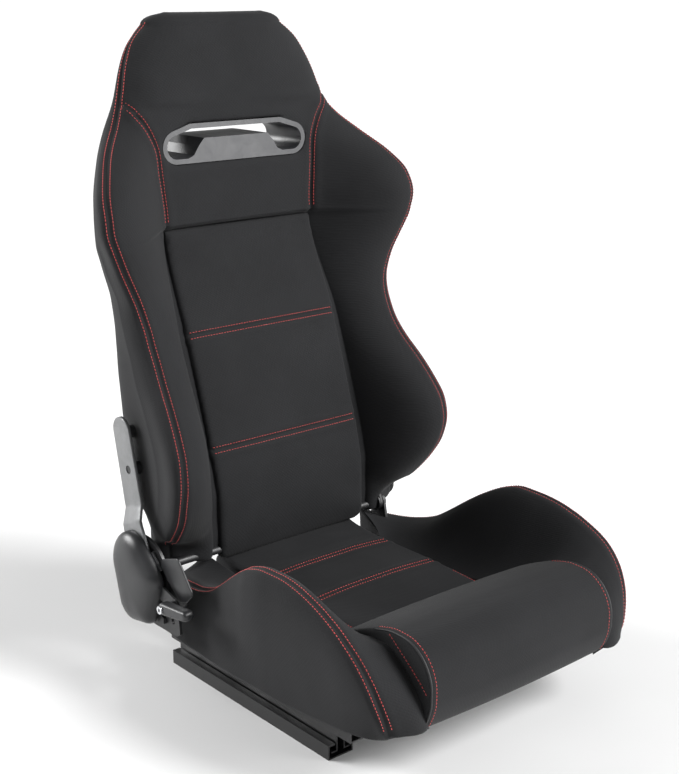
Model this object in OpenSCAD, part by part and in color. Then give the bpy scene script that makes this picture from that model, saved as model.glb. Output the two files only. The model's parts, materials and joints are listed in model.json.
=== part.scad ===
// Reclining sports seat on floor sliders.
// +X is the occupant's left, the seat faces -Y, +Z is up.
// The origin is the centre of the four floor bolts, at the underside of the floor rails.

/* [Floor rails] */
// Distance between the centre lines of the two floor rails
rail_spacing = 370; // [366:1:372]
// Length of each floor rail
rail_len = 347; // [340:1:352]
// How far the rear end of the rail lies behind the origin
rail_rear = 191; // [188:1:193]
// Distance between front and rear floor bolts
bolt_spacing_y = 260; // [220:5:270]
// Diameter of the floor bolt holes
floor_hole_d = 8.5; // [8.4:0.1:9]
// Height of the floor rail
rail_h = 20; // [19:0.5:20.5]

/* [Cushion] */
// Height of the flat middle of the cushion
insert_top = 136; // [132:1:140]
// Height of the crest of the front roll
roll_crest = 191; // [185:1:194]
// Half width of the flat middle of the cushion
insert_half = 120; // [115:1:120]

/* [Backrest] */
// Half width of the middle pad of the backrest
back_half = 128; // [122:1:129]
// Height of the top edge of the middle pad
back_pad_top = 604; // [596:1:606]
// Thickness of the rear cover
cover_t = 8; // [6:1:9]
// Outer diameter of the tube of the back frame
tube_d = 22; // [20:1:24]

/* [Recliner] */
// Distance of the recline axis behind the origin
pivot_y = 175; // [174:1:176]
// Height of the recline axis
pivot_z = 160; // [159:1:161]
// Thickness of the steel plates of the recliner
plate_t = 4; // [3:0.5:4]
// Radial running clearance of the turning parts
run_gap = 0.05; // [0.02:0.01:0.1]
// Diameter of the cross shaft that joins the recliner and the far hinge
shaft_d = 12; // [11:0.5:12]

/* [Harness slot] */
// Half width of the harness bezel
bezel_half = 125.5; // [120:0.5:126]
// Width of the bezel's rim
bezel_rim = 7; // [6:0.5:8]

/* [Hidden] */
$fn = 48;

// Stations along X of the parts of the plain hinge on the occupant's left, counted outward
x_eye = 166;
x_left_bracket = 172;
left_bush_r = 9;
left_round = 13;

// Stations along X of the parts of the recliner on the occupant's right, counted outward
x_hub_in = 238;
x_bracket = 250;
x_arm_upper = 246;
x_arm_lower = 256;
x_cover = 261;
x_cover_out = 285;
x_lever = 261.5;
x_grip = 268;
lever_t = 3;
guard_t = 3;

rail_x = rail_spacing / 2;
rail_half = 20;
sheet_t = 2;
rail_front = rail_rear - rail_len;
pan_z = 62;
platform_z = 118;
foam_gap = 0.6;

// Runs of values along the height of the backrest, as [height, value]
back_front_y = [[150, 163], [196, 164], [226, 164], [255, 168], [310, 183], [462, 233], [604, 285], [690, 290],
    [725, 294], [760, 297], [800, 303], [850, 314], [880, 324], [897, 337]];
back_rear_y = [[165, 232], [210, 265], [270, 292], [330, 310], [400, 324], [480, 337], [540, 350],
    [600, 362], [680, 371], [780, 374], [840, 371], [878, 360], [897, 343]];
frame_y = [[190, 190], [740, 338], [840, 345]];
insert_back_y = [[150, 186], [240, 194], [296, 205], [344, 220], [400, 250], [604, 304]];
seam_x = [[165, 205], [210, 222], [240, 227], [270, 233], [300, 234], [330, 232], [360, 227],
    [420, 214], [450, 210], [480, 210], [510, 215], [540, 226], [570, 241], [600, 255], [630, 263],
    [660, 261], [690, 244], [720, 218], [750, 190], [776, 170]];
seam_y = [[165, 187], [210, 142], [240, 118], [270, 103], [300, 97], [330, 102], [360, 120],
    [420, 172], [450, 193], [480, 209], [540, 216], [600, 207], [630, 207], [660, 216], [690, 242],
    [720, 277], [750, 306], [776, 322]];
side_x = [[165, 210], [210, 228], [270, 240], [330, 242], [400, 236], [450, 229], [510, 230],
    [570, 250], [630, 269], [660, 266], [690, 250], [720, 225], [750, 198], [776, 176]];
wing_root_x = [[150, 130], [600, 130], [606, 127], [650, 129], [690, 132], [730, 143], [770, 165]];
head_half_x = [[776, 180], [800, 171], [842, 153], [862, 143], [880, 122], [897, 90]];

// Runs of values along the depth of the cushion bolster, as [y, value]
bol_seam_x = [[-264, 226], [-250, 235], [-220, 239], [-190, 238], [-100, 235], [-40, 237], [-10, 222],
    [20, 216], [50, 217], [80, 214], [110, 211], [140, 205], [185, 198]];
bol_seam_z = [[-264, 128], [-250, 170], [-220, 199], [-190, 215], [-160, 226], [-130, 233], [-70, 236],
    [-40, 229], [-10, 214], [20, 195], [50, 173], [80, 152], [110, 141], [140, 133], [185, 117]];
bol_side_x = [[-264, 230], [-250, 242], [-200, 248], [-100, 248], [0, 244], [60, 236], [120, 228],
    [185, 222]];
bol_low_z = [[-264, 84], [-250, 77], [-100, 68], [60, 58], [185, 53]];
bol_root_x = [[-264, 160], [-105.4, 160], [-104.8, 122], [185, 122]];

// Profile of the front roll as [y, z], from the boundary with the middle forward and down
roll_line = [[-106, 134], [-120, 147], [-138, 157], [-160, 168], [-180, 177], [-205, 187], [-230, roll_crest],
    [-252, 190], [-270, 183], [-284, 171], [-293, 156], [-297, 140], [-296, 120], [-291, 102],
    [-281, 82], [-268, 84]];

module rh() { mirror([1, 0, 0]) children(); }
function rh_point(p) = [-p[0], p[1], p[2]];

// Extrudes a drawing of [y, z] points from x0 to x1
module along_x(x0, x1) {
    translate([x0, 0, 0]) rotate([90, 0, 90]) linear_extrude(x1 - x0) children();
}

// Extrudes a drawing of [x, z] points from y0 to y1
module along_y(y0, y1) {
    translate([0, y1, 0]) rotate([90, 0, 0]) linear_extrude(y1 - y0) children();
}

module rod_x(x0, x1, y, z, r) {
    translate([x0, y, z]) rotate([0, 90, 0]) cylinder(r = r, h = x1 - x0);
}

// A round bar through a list of points, with a fuller ball at each bend
module bent_bar(points, r) {
    bend_r = 1.12 * r;
    for (k = [0:len(points) - 2]) {
        d = points[k + 1] - points[k];
        translate(points[k]) rotate([0, acos(d[2] / norm(d)), atan2(d[1], d[0])])
            cylinder(r = r, h = norm(d));
        if (k > 0) translate(points[k]) sphere(r = bend_r);
    }
}

// A solid over a stack of rings that all have the same number of points
module skin(rings) {
    n = len(rings[0]);
    top = (len(rings) - 1) * n;
    points = [for (ring = rings) for (p = ring) p];
    sides = [for (j = [0:len(rings) - 2]) for (i = [0:n - 1]) let(
        a = j * n + i,
        b = j * n + (i + 1) % n) each [[a, a + n, b + n], [a, b + n, b]]];
    bottom_cap = [for (i = [0:n - 1]) i];
    top_cap = [for (i = [n - 1:-1:0]) top + i];
    polyhedron(points, concat([bottom_cap], sides, [top_cap]));
}

// The point where a line from p touches the circle about c, on its upper side
function tangent_point(p, c, r) = let(
    d = c - p,
    run = sqrt(d * d - r * r),
    dir = atan2(d[1], d[0]) + asin(r / norm(d))) p + run * [cos(dir), sin(dir)];

// ---------- floor rails ----------

module lower_rail_profile() {
    lip = 9;
    difference() {
        translate([rail_x - rail_half, 0]) square([2 * rail_half, rail_h]);
        translate([rail_x - rail_half + sheet_t, sheet_t])
            square([2 * (rail_half - sheet_t), rail_h - 2 * sheet_t]);
        translate([rail_x - rail_half + sheet_t + lip, sheet_t])
            square([2 * (rail_half - sheet_t - lip), rail_h]);
    }
}

module lower_rail() {
    notch_pitch = 12;
    notch_count = 18;
    color("#101011") difference() {
        along_y(rail_front, rail_rear) lower_rail_profile();
        for (side = [-1, 1])
            translate([rail_x, side * bolt_spacing_y / 2, -1]) cylinder(d = floor_hole_d, h = 5);
        for (k = [0:notch_count - 1])
            translate([rail_x - rail_half - 1, -122 + notch_pitch * k, 8]) cube([4, 6, 7]);
    }
}

module upper_rail() {
    color("#18181a") difference() {
        along_y(rail_front, rail_rear) {
            difference() {
                union() {
                    translate([rail_x - 15, 8]) square([30, sheet_t]);
                    translate([rail_x - 7, 8]) square([14, 28]);
                }
                translate([rail_x - 5, 7]) square([10, 27]);
            }
        }
        for (y = [-110, 110]) translate([rail_x, y, 30]) cylinder(r = 4.2, h = 10);
    }
}

module slide_rollers() {
    color("#c9ccd0") for (y = [-130, -30, 70, 165], side = [-1, 1])
        rod_x(rail_x + side * 11 - 3, rail_x + side * 11 + 3, y, 5.15, 2.85);
}

// ---------- seat base ----------

module side_member() {
    box_h = 26;
    box_w = 26;
    color("#151516") difference() {
        translate([rail_x - box_w / 2, -190, 36]) cube([box_w, 388, box_h]);
        translate([rail_x - box_w / 2 + sheet_t, -191, 36 + sheet_t])
            cube([box_w - 2 * sheet_t, 390, box_h - 2 * sheet_t]);
        for (y = [-110, 110]) translate([rail_x, y, 30]) cylinder(r = 4.2, h = 12);
    }
}

module rail_bolts() {
    color("#b4a060") for (side = [-1, 1], y = [-110, 110]) translate([side * rail_x, y, 0]) {
        translate([0, 0, 30]) cylinder(r = 4.6, h = 4);
        translate([0, 0, 34]) cylinder(r = 4, h = 14);
        translate([0, 0, 38]) cylinder(r = 7.5, h = 7, $fn = 6);
    }
}

// Pressed pan with a raised platform under the front roll
module seat_pan() {
    color("#202022") difference() {
        union() {
            translate([-197, -148, pan_z]) cube([394, 333, sheet_t]);
            along_x(-150, 150) polygon([[-147, pan_z], [-150, pan_z], [-190, platform_z], [-264, platform_z],
                [-264, platform_z + sheet_t], [-189, platform_z + sheet_t], [-149, pan_z + sheet_t],
                [-147, pan_z + sheet_t]]);
        }
        for (x = [-90, 0, 90], y = [-90, -10, 70]) translate([x, y, pan_z - 1]) cylinder(r = 20, h = 5);
    }
}

module rear_cross_tube() {
    color("#151516") rod_x(-rail_x + 13, rail_x - 13, 170, 49, 10);
}

// Two cheeks under a top plate, welded to the side member, that carry the latch pin
module latch_bracket() {
    color("#121213") difference() {
        union() {
            along_x(140, 142) polygon([[-75, 56], [-75, 26], [-90, 10], [-146, 10], [-158, 20], [-158, 44],
                [-150, 56]]);
            along_x(158, 160) polygon([[-75, 56], [-75, 34], [-83, 28], [-98, 28], [-106, 34], [-106, 56]]);
            translate([140, -115, 54]) cube([32, 40, sheet_t]);
        }
        rod_x(130, 170, -90, 45, 4);
    }
}

module latch_pins() {
    color("#b9bcc0") for (side = [0, 1]) mirror([side, 0, 0]) {
        rod_x(138, 162, -90, 45, 4);
        rod_x(162, 164, -90, 45, 6.5);
    }
}

// Bar under the front edge that lifts to free the slide
module slide_release_bar() {
    pin = [150, -90, 45];
    elbow = [150, -165, 45];
    front = [150, -222, 98];
    color("#161617") difference() {
        union() {
            bent_bar([pin, elbow, front, rh_point(front), rh_point(elbow), rh_point(pin)], 5);
            for (side = [0, 1]) mirror([side, 0, 0]) rod_x(143, 157, -90, 45, 8);
        }
        rod_x(-165, 165, -90, 45, 4 + run_gap);
    }
}

module latch_plate() {
    color("#8f9296") along_y(-142, -118)
        polygon([[148, 40], [148, 10], [164.4, 10], [164.4, 13], [152, 13], [152, 40]]);
}

// ---------- recliner, fixed side ----------

plate_round = 52;

module bracket_outline() {
    translate([pivot_y, pivot_z]) circle(r = plate_round);
    polygon([[143, 150], [209, 160], [203, 100], [190, 88], [105, 88], [96, 94], [100, 130]]);
}

module recliner_bracket() {
    color("#161617") difference() {
        union() {
            along_x(x_bracket, x_bracket + plate_t) bracket_outline();
            along_x(200, 200 + plate_t) polygon([[112, 38], [195, 38], [195, 112], [187, 120], [120, 120],
                [112, 112]]);
        }
        rod_x(240, 260, pivot_y, pivot_z, 12);
        rod_x(240, 260, 112, 108, 4);
        for (p = [[135, 104], [180, 100]]) rod_x(190, 270, p[0], p[1], 5);
    }
}

// Plain bracket of the far hinge, standing on the pan
module hinge_bracket() {
    foot_rear = 184;
    color("#161617") difference() {
        union() {
            along_x(x_left_bracket, x_left_bracket + plate_t) {
                translate([pivot_y, pivot_z]) circle(r = left_round);
                polygon([[pivot_y - left_round, pivot_z], [150, 100], [150, pan_z + sheet_t],
                    [foot_rear, pan_z + sheet_t], [198, 100], [pivot_y + left_round, pivot_z]]);
            }
            translate([x_left_bracket, 150, pan_z + sheet_t]) cube([24, foot_rear - 150, sheet_t]);
        }
        rod_x(x_eye, x_left_bracket + 10, pivot_y, pivot_z, left_bush_r);
    }
}

module bracket_spacers() {
    color("#8f9296") rh() for (p = [[135, 104], [180, 100]])
        difference() {
            rod_x(204, x_bracket, p[0], p[1], 8);
            rod_x(203, x_bracket + 1, p[0], p[1], 5);
        }
}

module bracket_bolts() {
    color("#b9bcc0") rh() for (p = [[135, 104], [180, 100]]) {
        rod_x(198, x_bracket + plate_t, p[0], p[1], 4.8);
        translate([x_bracket + plate_t, p[0], p[1]]) rotate([0, 90, 0]) cylinder(r = 8, h = 5, $fn = 6);
    }
}

// Fixed bush that the back arm turns on and the cross shaft runs through
module recliner_hub() {
    color("#9a9da2") difference() {
        union() {
            rod_x(x_hub_in, x_arm_lower + plate_t + 0.5, pivot_y, pivot_z, 12);
            rod_x(x_hub_in, x_hub_in + 2, pivot_y, pivot_z, 16);
        }
        rod_x(x_hub_in - 1, x_cover + 2, pivot_y, pivot_z, shaft_d / 2 + run_gap);
    }
}

// Bush of the far hinge, with its flange on the inner side
module hinge_bush() {
    flange_t = 2;
    x_in = x_eye - 0.5 - flange_t;
    color("#9a9da2") difference() {
        union() {
            rod_x(x_in, x_left_bracket + plate_t, pivot_y, pivot_z, left_bush_r);
            rod_x(x_in, x_in + flange_t, pivot_y, pivot_z, 13);
        }
        rod_x(x_in - 1, x_left_bracket + plate_t + 1, pivot_y, pivot_z, shaft_d / 2 + run_gap);
    }
}

// Flat spiral spring wound round the inner end of the bush
module return_spring() {
    turns = 3;
    steps = 24 * turns;
    strip = 1.6;
    grow = 13;
    r_at = [for (k = [0:steps]) 13.5 + grow * k / steps];
    inner = [for (k = [0:steps]) r_at[k] * [cos(15 * k), sin(15 * k)]];
    outer = [for (k = [steps:-1:0]) (r_at[k] + strip) * [cos(15 * k), sin(15 * k)]];
    color("#5f6368") rh() translate([0, pivot_y, pivot_z])
        along_x(x_hub_in + 3, x_bracket - 1) polygon(concat(inner, outer));
}

// Domed outer form: centre y, centre z and radius of each corner
cover_corners = [[189, 176, 41], [188, 113, 25], [158, 113, 20], [142, 160, 22]];

module cover_form(inset) {
    depth = x_cover_out - x_cover - inset;
    hull() for (c = cover_corners) translate([x_cover, c[0], c[1]])
        scale([depth / (c[2] - inset), 1, 1]) sphere(r = c[2] - inset, $fn = 28);
}

module recliner_cover() {
    wall = 2.5;
    color("#232426") rh() difference() {
        cover_form(0);
        cover_form(wall);
        translate([x_cover - 60, 50, 50]) cube([60, 220, 200]);
        translate([x_cover - 1, 100, 122]) cube([7, 45, 56]);
    }
}

// Plastic guard in front of the recliner; the lever turns just outside it
module lever_shroud() {
    color("#1c1d1f") rh()
        along_x(x_bracket + plate_t, x_bracket + plate_t + guard_t) polygon([[129, 194], [94, 205],
            [62, 167], [62, 162], [76, 148], [91, 144], [123, 169]]);
}

// ---------- cushion ----------

module cushion_insert() {
    crown = 4;
    color("#35363a") along_x(-insert_half, insert_half) polygon([[-105, pan_z + 2.5],
        [155, pan_z + 2.5], [155, insert_top - 3], [140, insert_top], [20, insert_top + crown],
        [-90, insert_top], [-105, insert_top - 2]]);
}

module cushion_front_roll() {
    under = [[-265, platform_z + 3], [-188, platform_z + 3], [-147, pan_z + 3.5], [-106, pan_z + 3.5]];
    color("#3a3b3f") along_x(-158, 158) polygon(concat(roll_line, under));
}

function bolster_ring(y) = let(
    xi = lookup(y, bol_root_x),
    xs = lookup(y, bol_seam_x),
    zs = lookup(y, bol_seam_z),
    xo = lookup(y, bol_side_x),
    zl = lookup(y, bol_low_z),
    root = min(128, zs - 8)) [
    [xi + foam_gap, y, pan_z + 4],
    [xi + foam_gap, y, root],
    [xi + 0.45 * (xs - xi), y, root + 0.42 * (zs - root)],
    [xs - 10, y, zs + 1],
    [xs, y, zs],
    [xo - 2, y, zs - 0.3 * (zs - zl)],
    [xo, y, zl + 0.35 * (zs - zl)],
    [xo - 14, y, zl],
    [206, y, zl],
    [206, y, pan_z + 4]];

// Side of the cushion; recliner_side cuts it for the recliner's inner plate, else for the far hinge
module cushion_bolster(recliner_side) {
    stations = [-264, -250, -235, -220, -190, -160, -130, -105.4, -104.8, -70, -40, -10, 20, 50, 80, 110,
        140, 185];
    color("#2b2c2f") difference() {
        skin([for (y = stations) bolster_ring(y)]);
        if (recliner_side) {
            translate([197, 111, 50]) cube([8, 85, 71]);
            for (p = [[135, 104], [180, 100]]) rod_x(204, 260, p[0], p[1], 9);
        } else {
            translate([x_left_bracket - 1, 148, 50]) cube([plate_t + 2, 60, 120]);
            translate([x_left_bracket - 1, 148, 50]) cube([27, 60, 18]);
        }
    }
}

// ---------- backrest ----------

arm_len = 192.6;
arm_tilt = 17.2;

module arm_outline() {
    polygon([[-10, -30], [62, -21], [arm_len, -20], [arm_len, 20], [62, 21], [-10, 30]]);
    circle(r = 32);
    translate([arm_len, 0]) circle(r = 20);
}

// Cranked plate: the lower end stands further out than the upper end
module back_arm() {
    side_profile = [[-40, x_arm_lower], [63, x_arm_lower], [94, x_arm_upper], [220, x_arm_upper],
        [220, x_arm_upper + plate_t], [95, x_arm_upper + plate_t], [64, x_arm_lower + plate_t],
        [-40, x_arm_lower + plate_t]];
    color("#9b9ea3") translate([0, pivot_y, pivot_z]) rotate([-arm_tilt, 0, 0]) difference() {
        intersection() {
            rotate([90, 0, 0]) translate([0, 0, -50]) linear_extrude(100)
                polygon([for (p = side_profile) [p[1], p[0]]]);
            translate([230, 0, 0]) rotate([0, 90, 0]) mirror([1, 0, 0]) linear_extrude(40) arm_outline();
        }
        rod_x(230, 270, 0, 0, 12 + run_gap);
        rod_x(230, 270, 0, 142, 6);
    }
}

// Middle of the hole in the arm, where the arm bolts to the back frame
arm_bolt_y = pivot_y + 142 * sin(arm_tilt);
arm_bolt_z = pivot_z + 142 * cos(arm_tilt);
arm_top_y = pivot_y + arm_len * sin(arm_tilt);
arm_top_z = pivot_z + arm_len * cos(arm_tilt);

module arm_bolts() {
    color("#c9ccd0") rh()
        rod_x(238, x_arm_upper + plate_t - 1, arm_bolt_y, arm_bolt_z, 5.4);
}

function frame_point(x, z) = [x, lookup(z, frame_y), z];

// Eye plate welded to the far leg of the hoop
module eye_arm() {
    top = 262;
    half = 9;
    color("#9b9ea3") difference() {
        along_x(x_eye, x_eye + plate_t) {
            translate([pivot_y, pivot_z]) circle(r = left_round);
            polygon([[pivot_y - left_round + 1, pivot_z + 5], [lookup(top, frame_y) - half, top],
                [lookup(top, frame_y) + half, top], [pivot_y + left_round, pivot_z + 2]]);
        }
        rod_x(x_eye - 1, x_eye + plate_t + 1, pivot_y, pivot_z, left_bush_r + run_gap);
    }
}

// Bent tube hoop; r is the radius of the tube
module frame_tubes(r) {
    half = [frame_point(155, 194), frame_point(155, 740), frame_point(112, 838)];
    bent_bar(concat(half, [for (k = [2:-1:0]) rh_point(half[k])]), r);
}

// Channel in the foam round the hoop
module frame_space() {
    $fn = 12;
    frame_tubes(tube_d / 2 + 2.5);
}

// Tubes across the hoop that run out to the arm on the occupant's right
module cross_tubes(r, reach) {
    rod_x(-reach, 155, arm_bolt_y, arm_bolt_z, r);
    rod_x(-reach, 155, arm_top_y, arm_top_z, r);
}

module back_frame() {
    color("#1d1d1f") difference() {
        union() {
            frame_tubes(tube_d / 2);
            cross_tubes(9, x_arm_upper);
        }
        rh() rod_x(237, 260, arm_bolt_y, arm_bolt_z, 5.4);
    }
}

// Zigzag wires across the hoop
module back_springs() {
    pitch = 20;
    rise = 14;
    color("#7d8086") for (z0 = [400, 470, 540])
        translate([0, 9, 0])
            bent_bar([for (k = [0:14]) frame_point(-140 + pitch * k, z0 + (k % 2) * rise)], 1.8);
}

function insert_ring(z) = let(
    y0 = lookup(z, back_front_y),
    y1 = lookup(z, insert_back_y),
    w = back_half) [
    [-w + 8, y0 + 1, z], [0, y0 - 3, z], [w - 8, y0 + 1, z], [w, y0 + 8, z], [w, y1, z], [-w, y1, z],
    [-w, y0 + 8, z]];

module back_insert() {
    bottom = 168;
    levels = [bottom, 240, 296, 310, 344, 400, 462, 533, back_pad_top];
    color("#35363a") difference() {
        skin([for (z = levels) insert_ring(z)]);
        rod_x(-140, 140, pivot_y, pivot_z, 12);
    }
}

// A shell surface of the wing: front face, seam, side and rear, round a chamber for the frame
function wing_ring(z) = let(
    yf = lookup(z, frame_y) - (z < 215 ? 23 : 15.6),
    xi = lookup(z, wing_root_x) + foam_gap,
    yi = min(lookup(z, back_front_y) + 6, yf - 3),
    xs = lookup(z, seam_x),
    ys = lookup(z, seam_y),
    xo = lookup(z, side_x),
    yr = lookup(z, back_rear_y) - cover_t - foam_gap,
    xc = min(173, xo - 12)) [
    [xi, yi, z],
    [xi + 0.5 * (xs - xi), yi + 0.42 * (ys - yi), z],
    [xs - 8, ys - 1, z],
    [xs, ys, z],
    [xo, ys + 0.3 * (yr - ys), z],
    [xo - 3, ys + 0.62 * (yr - ys), z],
    [xo - 20, ys + 0.88 * (yr - ys), z],
    [max(xo - 45, xc + 1), yr, z],
    [xc, yr, z],
    [xc, yf, z],
    [xi, yf, z]];

module wing() {
    levels = [186, 210, 240, 270, 300, 330, 360, 390, 420, 450, 480, 510, 540, 570, 600, 630, 660, 690,
        720, 750, 770];
    color("#2b2c2f") difference() {
        skin([for (z = levels) wing_ring(z)]);
        rh() cross_tubes(10, 260);
    }
}

// Half width of the upper panel, between the wings and above them
function head_w(z) = z < 775 ? lookup(z, wing_root_x) - 0.4 : lookup(z, head_half_x);

function head_ring(z) = let(
    w = head_w(z),
    y0 = lookup(z, back_front_y) + (z < 610 ? 8 : 0),
    y1 = lookup(z, back_rear_y) - cover_t - foam_gap,
    c = z < 775 ? 1 : min(20, (y1 - y0) / 3)) [
    [-w + c, y0, z], [w - c, y0, z], [w, y0 + c, z], [w, y1 - c, z], [w - c, y1, z], [-w + c, y1, z],
    [-w, y1 - c, z], [-w, y0 + c, z]];

module head_pad() {
    levels = [back_pad_top + 1, 650, 690, 725, 760, 774.9, 776, 800, 821, 842, 862, 880, 890];
    color("#303135") difference() {
        skin([for (z = levels) head_ring(z)]);
        frame_space();
        along_y(280, 400) bezel_outline(-1);
    }
}

function cover_ring(z) = let(
    w = z < 776 ? max(lookup(z, side_x) - 45, 60) : lookup(z, head_half_x) - 15,
    y1 = lookup(z, back_rear_y),
    y0 = y1 - cover_t) [[-w, y0, z], [w, y0, z], [w - 6, y1, z], [-w + 6, y1, z]];

module back_cover() {
    levels = [212, 270, 330, 400, 480, 540, 600, 680, 735, 780, 840, 878, 892];
    color("#1d1e20") difference() {
        union() {
            skin([for (z = levels) cover_ring(z)]);
            translate([-140, 193, 204]) cube([280, 70, cover_t]);
        }
        along_y(280, 400) bezel_outline(-1);
    }
}

// ---------- harness slot ----------

bezel_low = 692;
bezel_top = 747;
bezel_face_y = 294;
end_r = 23.5;

// Outer shape of the bezel, drawn inset by g
module bezel_outline(g) {
    r = end_r - g;
    cx = bezel_half - end_r;
    cz = bezel_low + end_r;
    corner = [80 - 0.35 * g, bezel_top - g];
    touch = tangent_point(corner, [cx, cz], r);
    for (side = [-1, 1]) translate([side * cx, cz]) circle(r = r);
    polygon([[-cx, bezel_low + g], [cx, bezel_low + g], [cx, cz], touch, corner,
        [-corner[0], corner[1]], [-touch[0], touch[1]], [-cx, cz]]);
}

// Opening through the bezel: a thin slot with a deeper pocket at each end, drawn inset by g
module slot_opening(g) {
    difference() {
        bezel_outline(bezel_rim + g);
        polygon([[-56 - g, 726 + g], [56 + g, 726 + g], [66 + g, 715], [74 + g, 703], [90, 696],
            [90, 680], [-90, 680], [-90, 696], [-74 - g, 703], [-66 - g, 715]]);
    }
}

module harness_bezel_front() {
    depth = 36;
    color("#6c6e73") difference() {
        union() {
            along_y(bezel_face_y, bezel_face_y + 5) bezel_outline(0);
            along_y(bezel_face_y, bezel_face_y + depth) slot_opening(-2.5);
        }
        along_y(bezel_face_y - 1, bezel_face_y + depth + 1) slot_opening(0);
    }
}

module harness_bezel_rear() {
    back = 379;
    front = bezel_face_y + 36.2;
    color("#3a3b3e") difference() {
        union() {
            along_y(back - 5, back) bezel_outline(0);
            along_y(front, back) slot_opening(-2.5);
        }
        along_y(front - 1, back + 1) slot_opening(0);
    }
}

// ---------- recline lever ----------

lever_y = 92;
lever_z = 142;

module lever_plate() {
    color("#232426") rh() difference() {
        union() {
            along_x(x_lever, x_lever + lever_t) {
                translate([pivot_y, pivot_z]) circle(r = 14);
                polygon([[178, 146], [lever_y, lever_z - 9], [lever_y, lever_z + 9], [172, 174]]);
                translate([lever_y, lever_z]) circle(r = 9);
            }
            rod_x(x_lever + lever_t, x_grip, lever_y, lever_z, 7);
        }
        rod_x(x_lever - 1, x_grip + 1, pivot_y, pivot_z, shaft_d / 2);
        rod_x(x_lever - 1, x_grip + 1, lever_y, lever_z, 3);
    }
}

module lever_grip() {
    $fn = 32;
    color("#2a2b2d") rh() difference() {
        hull() {
            rod_x(x_grip + 2, x_grip + 18, lever_y, lever_z, 11);
            rod_x(x_grip, x_grip + 20, lever_y, lever_z, 9);
            translate([x_grip + 9, 41, 149]) sphere(r = 8.6);
        }
        rod_x(x_grip - 1, x_grip + 22, lever_y, lever_z, 3.2);
        rod_x(x_grip + 17, x_grip + 22, lever_y, lever_z, 6.5);
    }
}

module lever_screw() {
    color("#dfe1e4") rh() difference() {
        union() {
            rod_x(x_lever, x_grip + 17, lever_y, lever_z, 3);
            rod_x(x_grip + 17, x_grip + 20.5, lever_y, lever_z, 5.5);
        }
        rod_x(x_grip + 18.5, x_grip + 21, lever_y, lever_z, 2.5);
    }
}

// Cross shaft from the lever to the far hinge, with its end collar
module sync_shaft() {
    x_collar = x_left_bracket + plate_t + 0.5;
    color("#8f9296") {
        rod_x(-x_lever - lever_t, x_collar + lever_t, pivot_y, pivot_z, shaft_d / 2);
        rod_x(x_collar, x_collar + lever_t, pivot_y, pivot_z, 10);
    }
}

rh() lower_rail();  // lower_rail_rh
lower_rail();  // lower_rail_lh
rh() upper_rail();  // upper_rail_rh
upper_rail();  // upper_rail_lh
rh() slide_rollers();  // slide_rollers_rh
slide_rollers();  // slide_rollers_lh
rh() side_member();  // side_member_rh
side_member();  // side_member_lh
seat_pan();
rear_cross_tube();
rail_bolts();
rh() latch_bracket();  // latch_bracket_rh
latch_bracket();  // latch_bracket_lh
latch_pins();
slide_release_bar();
rh() latch_plate();  // latch_plate_rh
latch_plate();  // latch_plate_lh
rh() recliner_bracket();  // recliner_bracket_rh
hinge_bracket();  // recliner_bracket_lh
bracket_spacers();
bracket_bolts();
rh() recliner_hub();  // recliner_hub_rh
hinge_bush();  // recliner_hub_lh
return_spring();
recliner_cover();
lever_shroud();
cushion_insert();
cushion_front_roll();
rh() cushion_bolster(true);  // cushion_bolster_rh
cushion_bolster(false);  // cushion_bolster_lh
rh() back_arm();  // back_arm_rh
eye_arm();  // back_arm_lh
arm_bolts();
back_frame();
back_springs();
back_insert();
head_pad();
rh() wing();  // wing_rh
wing();  // wing_lh
back_cover();
harness_bezel_front();
harness_bezel_rear();
lever_plate();
lever_grip();
lever_screw();
sync_shaft();
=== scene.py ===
"""Reclining sports seat: upholstery, stitching, materials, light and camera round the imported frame."""
import json
import math

import bmesh
import bpy
import numpy as np
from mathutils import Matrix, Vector
from mathutils.bvhtree import BVHTree


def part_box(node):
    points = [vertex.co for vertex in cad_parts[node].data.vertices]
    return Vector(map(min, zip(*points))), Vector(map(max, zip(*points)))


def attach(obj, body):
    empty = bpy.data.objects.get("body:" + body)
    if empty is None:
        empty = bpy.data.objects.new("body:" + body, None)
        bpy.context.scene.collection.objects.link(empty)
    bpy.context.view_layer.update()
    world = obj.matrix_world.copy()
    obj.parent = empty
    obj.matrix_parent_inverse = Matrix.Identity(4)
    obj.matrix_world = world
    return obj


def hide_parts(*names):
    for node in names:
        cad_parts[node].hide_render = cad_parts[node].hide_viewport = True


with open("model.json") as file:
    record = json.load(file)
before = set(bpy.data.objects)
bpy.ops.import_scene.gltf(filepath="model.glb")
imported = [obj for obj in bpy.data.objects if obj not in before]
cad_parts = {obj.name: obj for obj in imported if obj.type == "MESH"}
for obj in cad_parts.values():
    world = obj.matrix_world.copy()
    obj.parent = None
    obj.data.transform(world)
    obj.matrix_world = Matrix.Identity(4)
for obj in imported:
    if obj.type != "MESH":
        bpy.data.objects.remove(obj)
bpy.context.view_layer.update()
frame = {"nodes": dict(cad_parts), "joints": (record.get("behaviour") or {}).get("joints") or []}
MM = 0.001
rng = np.random.default_rng(7)

# ---- values from the frame

_, pivot_y, pivot_z = next(j for j in frame["joints"] if j["name"] == "recline")["pos_m"]
insert_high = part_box("back_insert")[1]
seat_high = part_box("cushion_insert")[1]
bezel_low, bezel_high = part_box("harness_bezel_front")
rear_bezel_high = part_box("harness_bezel_rear")[1]
PAD_TOP = insert_high.z
PAD_HALF = insert_high.x
SEAT_HALF = seat_high.x - 1.0 * MM

# ---- curves of the upholstery
# Each run is a short list of [height, value] in millimetres through which a smooth curve passes.

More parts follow.
